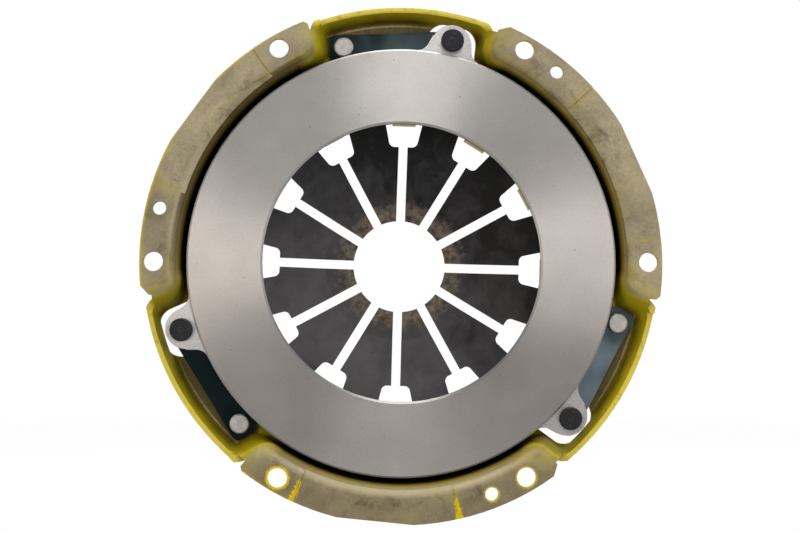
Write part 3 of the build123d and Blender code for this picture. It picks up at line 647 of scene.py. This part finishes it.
# Two runs of thick paint lie in the creases of the lowest sector, and a ring of it round one bolt hole there
wander = add_node(
    tree, "MapRange", Value=speckle, From_Min=0.3, From_Max=0.7, To_Min=-0.5, To_Max=0.5
).outputs[0]
from_crease = add_node(
    tree, "Math", {"operation": "MINIMUM"}, i0=crease_away[0], i1=crease_away[1]
).outputs[0]
run_edge = add_node(tree, "Math", {"operation": "ADD"}, i0=from_crease, i1=wander).outputs[0]
widening = add_node(
    tree, "MapRange", Value=radius, From_Min=0.110, From_Max=0.121, To_Min=0.15, To_Max=-0.40
).outputs[0]
widened_edge = add_node(tree, "Math", {"operation": "ADD"}, i0=run_edge, i1=widening).outputs[0]
run_width = add_node(tree, "MapRange", Value=widened_edge, From_Min=0.60, From_Max=0.15).outputs[0]
run_reach = add_node(tree, "MapRange", Value=radius, From_Min=0.1095, From_Max=0.1120).outputs[0]
run = add_node(tree, "Math", {"operation": "MULTIPLY"}, i0=run_width, i1=run_reach).outputs[0]
from_hole = add_node(
    tree, "VectorMath", {"operation": "DISTANCE"}, i0=flat_place, i1=bolt_hole_low_left
).outputs["Value"]
ragged_edge = add_node(
    tree, "Math", {"operation": "MULTIPLY_ADD"}, i0=wander, i1=0.0012, i2=from_hole
).outputs[0]
halo = add_node(tree, "MapRange", Value=ragged_edge, From_Min=0.0062, From_Max=0.0050).outputs[0]
run_or_halo = add_node(tree, "Math", {"operation": "MAXIMUM"}, i0=run, i1=halo).outputs[0]
# Paint that crept through two more holes left a thinner, broken ring round them
for hole_centre, ring_reach in ((bolt_hole_low_right, 0.0056), (dowel_hole_low, 0.0042)):
    from_hole = add_node(
        tree, "VectorMath", {"operation": "DISTANCE"}, i0=flat_place, i1=hole_centre
    ).outputs["Value"]
    crept = add_node(
        tree, "Math", {"operation": "MULTIPLY_ADD"}, i0=wander, i1=0.0011, i2=from_hole
    ).outputs[0]
    thin_halo = add_node(
        tree, "MapRange", Value=crept, From_Min=ring_reach, From_Max=ring_reach - 0.0009, To_Max=0.8
    ).outputs[0]
    run_or_halo = add_node(tree, "Math", {"operation": "MAXIMUM"}, i0=run_or_halo, i1=thin_halo).outputs[0]
lowest = add_node(tree, "MapRange", Value=axes["Z"], From_Min=-0.080, From_Max=-0.090).outputs[0]
low_paint = add_node(tree, "Math", {"operation": "MULTIPLY"}, i0=run_or_halo, i1=lowest).outputs[0]
# It also gathered in a thin broken line along the outer edge on the left
ragged_radius = add_node(
    tree, "Math", {"operation": "MULTIPLY_ADD"}, i0=wander, i1=0.0014, i2=radius
).outputs[0]
edge_line = add_node(
    tree, "MapRange", Value=ragged_radius, From_Min=0.1202, From_Max=0.1212, To_Max=0.7
).outputs[0]
left_line = add_node(tree, "Math", {"operation": "MULTIPLY"}, i0=edge_line, i1=to_left).outputs[0]
thick = add_node(tree, "Math", {"operation": "MAXIMUM"}, i0=low_paint, i1=left_line).outputs[0]
past_face = add_node(
    tree, "MapRange", Value=axes["Y"], From_Min=0.0012, From_Max=0.0040, To_Max=0.9
).outputs[0]
above_floor = add_node(tree, "Math", {"operation": "SUBTRACT"}, i0=off_drum, i1=floor_of_bay).outputs[0]
# The middle of each flange sector took only a mist of paint on its bend
misted = add_node(tree, "MapRange", Value=by_the_ends, To_Min=0.40, To_Max=1.0).outputs[0]
bend_spray = add_node(tree, "Math", {"operation": "MULTIPLY"}, i0=past_face, i1=misted).outputs[0]
bend_paint = add_node(tree, "Math", {"operation": "MULTIPLY"}, i0=bend_spray, i1=above_floor).outputs[0]
before_flange = add_node(tree, "MapRange", Value=from_bay, From_Min=27.0, From_Max=24.0).outputs[0]
end_band = add_node(tree, "Math", {"operation": "MULTIPLY"}, i0=open_wall_lit_and_sprayed, i1=before_flange).outputs[0]
end_paint = add_node(tree, "Math", {"operation": "MULTIPLY"}, i0=end_band, i1=past_face).outputs[0]
bend_or_end = add_node(tree, "Math", {"operation": "MAXIMUM"}, i0=bend_paint, i1=end_paint).outputs[0]
rim_or_bend = add_node(tree, "Math", {"operation": "MAXIMUM"}, i0=rim, i1=bend_or_end).outputs[0]
rim_or_thick = add_node(tree, "Math", {"operation": "MAXIMUM"}, i0=rim_or_bend, i1=thick).outputs[0]
dust_or_rim = add_node(tree, "Math", {"operation": "MAXIMUM"}, i0=dust, i1=rim_or_thick).outputs[0]
# The front faces have only the dust, the rims and the thick paint. The rest of the sheet is painted all over.
painted = add_node(tree, "Mix", {"data_type": "FLOAT"}, i0=front, i2=1.0, i3=dust_or_rim).outputs[0]
rim_front = add_node(tree, "Math", {"operation": "MULTIPLY"}, i0=rim, i1=front).outputs[0]
floor_shade = add_node(
    tree,
    "Mix",
    {"data_type": "RGBA", "blend_type": "MULTIPLY"},
    i0=floor_of_bay,
    i6=sheet_tone,
    i7=linear_colour("#C4BFAE"),
).outputs[2]
# Painted highlight: one thin bright line round the floor of each bay, on the corner the punch left
past_line = add_node(tree, "Math", {"operation": "SUBTRACT"}, i0=radius, i1=floor_highlight_radius).outputs[0]
off_line = add_node(tree, "Math", {"operation": "ABSOLUTE"}, i0=past_line).outputs[0]
on_highlight_line = add_node(tree, "MapRange", Value=off_line, From_Min=0.0006, From_Max=0.0002, To_Max=0.8).outputs[0]
floor_edge_highlight = add_node(tree, "Math", {"operation": "MULTIPLY"}, i0=on_highlight_line, i1=floor_of_bay).outputs[0]
floor_tone = add_node(
    tree, "Mix", {"data_type": "RGBA"}, i0=floor_edge_highlight, i6=floor_shade, i7=linear_colour("#BDB184")
).outputs[2]
paint_colour = add_node(tree, "Mix", {"data_type": "RGBA"}, i0=rim_front, i6=enamel, i7=rubbed_rim).outputs[2]
run_colour = add_node(
    tree, "Mix", {"data_type": "RGBA"}, i0=thick, i6=paint_colour, i7=linear_colour("#D9BC0C")
).outputs[2]
cover_colour = add_node(
    tree, "Mix", {"data_type": "RGBA"}, i0=painted, i6=floor_tone, i7=run_colour
).outputs[2]
bare_metal = add_node(tree, "Mix", {"data_type": "FLOAT"}, i0=painted, i2=0.25, i3=0.0).outputs[0]
bare_roughness = add_node(
    tree, "MapRange", Value=smear, From_Min=0.3, From_Max=0.7, To_Min=0.48, To_Max=0.66
).outputs[0]
paint_roughness = add_node(tree, "Mix", {"data_type": "FLOAT"}, i0=inside, i2=0.42, i3=0.80).outputs[0]
sheet_roughness = add_node(
    tree, "Mix", {"data_type": "FLOAT"}, i0=painted, i2=bare_roughness, i3=paint_roughness
).outputs[0]
# The sheet rolls over softly towards its inner bend, which turns the flange to the light on one side of
# the part
roll = add_node(tree, "MapRange", Value=radius, From_Min=0.1130, From_Max=0.1045).outputs[0]
roll_drop = add_node(tree, "Math", {"operation": "POWER"}, i0=roll, i1=1.8).outputs[0]
flat_sheet = add_node(tree, "MapRange", Value=facing, From_Min=-0.40, From_Max=-0.86).outputs[0]
rolled = add_node(
    tree, "Bump", {"invert": True}, Strength=flat_sheet, Distance=0.0028, Height=roll_drop
).outputs[0]
bump = add_node(tree, "Bump", Strength=0.22, Distance=0.0003, Height=speckle, Normal=rolled).outputs[0]
set_inputs(
    tree,
    shader,
    Base_Color=cover_colour,
    Metallic=bare_metal,
    Roughness=sheet_roughness,
    Specular_IOR_Level=0.15,
    Normal=bump,
)
finish_node("cover", sprayed_steel)


# Diaphragm spring: twelve fingers on one coned disc of spring steel, hardened, tempered and oiled almost
# black. The release bearing and handling have rubbed the tips to a patchy brown.
finger_count = 12
tempered_steel, tree, shader, place = new_material("oil_tempered_spring_steel")
# Tempered steel: blue-black with faint cloudy stains, and dull tan scuffs that fade out from the tips
axes = add_node(tree, "SeparateXYZ", i0=place).outputs
flat_place = add_node(tree, "CombineXYZ", X=axes["X"], Z=axes["Z"]).outputs[0]
radius = add_node(tree, "VectorMath", {"operation": "LENGTH"}, i0=flat_place).outputs["Value"]
stain = add_node(
    tree, "TexNoise", i0=place, Scale=1 / 0.016, Detail=7.0, Roughness=0.64, Distortion=0.3
).outputs[0]
scuff = add_node(tree, "TexNoise", i0=place, Scale=1 / 0.0032, Detail=6.0, Roughness=0.68).outputs[0]
# Painted light: the disc is a little greyer at the lower left, where the fingers turn up to the light, and
# nearly black at the upper right
low_left_way = (-0.62, 0.0, -0.78)
low_left = add_node(
    tree, "VectorMath", {"operation": "DOT_PRODUCT"}, i0=place, i1=low_left_way
).outputs["Value"]
lower_left_light = add_node(
    tree, "MapRange", Value=low_left, From_Min=-0.05, From_Max=0.05, To_Min=-0.25, To_Max=0.30
).outputs[0]
stain_and_light = add_node(tree, "Math", {"operation": "ADD"}, i0=stain, i1=lower_left_light).outputs[0]
tone = add_node(tree, "ValToRGB", {"stops": ((0.25, "#0B0A0A"), (0.85, "#454344"))}, Fac=stain_and_light)
brown = add_node(tree, "ValToRGB", {"stops": ((0.35, "#2A2522"), (0.68, "#6C6152"))}, Fac=scuff)
tip = add_node(tree, "MapRange", Value=radius, From_Min=0.036, From_Max=0.026).outputs[0]
tip_wear = add_node(tree, "Math", {"operation": "MULTIPLY_ADD"}, i0=scuff, i1=1.2, i2=tip).outputs[0]
patch = add_node(tree, "MapRange", Value=tip_wear, From_Min=0.92, From_Max=1.24).outputs[0]
tip_patch = add_node(tree, "Math", {"operation": "MULTIPLY"}, i0=patch, i1=tip).outputs[0]
finger_colour = add_node(
    tree, "Mix", {"data_type": "RGBA"}, i0=tip_patch, i6=tone.outputs[0], i7=brown.outputs[0]
).outputs[2]
stain_roughness = add_node(
    tree, "MapRange", Value=stain, From_Min=0.3, From_Max=0.7, To_Min=0.36, To_Max=0.52
).outputs[0]
bump = add_node(tree, "Bump", Strength=0.12, Distance=0.0002, Height=scuff).outputs[0]
set_inputs(tree, shader, Base_Color=finger_colour, Metallic=0.75, Roughness=stain_roughness, Normal=bump)
for number in range(1, finger_count + 1):
    finish_node(f"diaphragm_finger_{number:02d}", tempered_steel)


# Wire ring: a closed ring of drawn spring wire that the curled tabs of the cover hold on the spring's front.
# It is the front fulcrum of the fingers.
die_line_width = 0.0004
drawn_wire, tree, shader, place = new_material("drawn_spring_wire")
# Drawn wire: dark steel with a dull sheen and fine lengthwise die lines, which are 0.05 mm wide in the
# real wire and are drawn 0.4 mm wide, so that they show
axes = add_node(tree, "SeparateXYZ", i0=place).outputs
die_line = add_node(
    tree, "TexNoise", {"noise_dimensions": "1D"}, W=axes["Y"], Scale=1 / die_line_width, Detail=3.0
).outputs[0]
oil = add_node(tree, "TexNoise", i0=place, Scale=1 / 0.009, Detail=4.0, Roughness=0.6).outputs[0]
tone = add_node(tree, "ValToRGB", {"stops": ((0.3, "#3A3A3C"), (0.7, "#5A5A5B"))}, Fac=oil)
oil_roughness = add_node(
    tree, "MapRange", Value=oil, From_Min=0.3, From_Max=0.7, To_Min=0.35, To_Max=0.55
).outputs[0]
bump = add_node(tree, "Bump", Strength=0.2, Distance=0.0001, Height=die_line).outputs[0]
set_inputs(tree, shader, Base_Color=tone.outputs[0], Metallic=1.0, Roughness=oil_roughness, Normal=bump)
finish_node("fulcrum_ring", drawn_wire)


# Cover rivets: three zinc-plated steel rivets that clamp the strap packs to the ledge. Their heads were
# closed by a spinning tool, which left fine rings.
spun_ring_pitch = 0.0009
plated_rivet, tree, shader, place = new_material("zinc_plated_rivet_steel")
# Zinc plate: pale matte grey, a little warm, with spun rings and faint white bloom
from_centre = rivet_place(tree, place, rivet_circle, cover_rivet_angle)
bloom = add_node(tree, "TexNoise", i0=place, Scale=1 / 0.0018, Detail=5.0, Roughness=0.6).outputs[0]
tone = add_node(tree, "ValToRGB", {"stops": ((0.3, "#9C9894"), (0.7, "#B9B5B1"))}, Fac=bloom)
ring_phase = add_node(
    tree, "Math", {"operation": "MULTIPLY"}, i0=from_centre, i1=2 * math.pi / spun_ring_pitch
).outputs[0]
ring_wave = add_node(tree, "Math", {"operation": "SINE"}, i0=ring_phase).outputs[0]
ring_mask = add_node(tree, "MapRange", Value=ring_wave, From_Min=0.2, From_Max=1.0, To_Max=0.22).outputs[0]
ringed = add_node(
    tree,
    "Mix",
    {"data_type": "RGBA", "blend_type": "MULTIPLY"},
    i0=ring_mask,
    i6=tone.outputs[0],
    i7=linear_colour("#8A8784"),
).outputs[2]
bump = add_node(tree, "Bump", Strength=0.3, Distance=0.0001, Height=ring_wave).outputs[0]
set_inputs(tree, shader, Base_Color=ringed, Metallic=0.7, Roughness=0.5, Normal=bump)
finish_node("cover_rivets", plated_rivet)
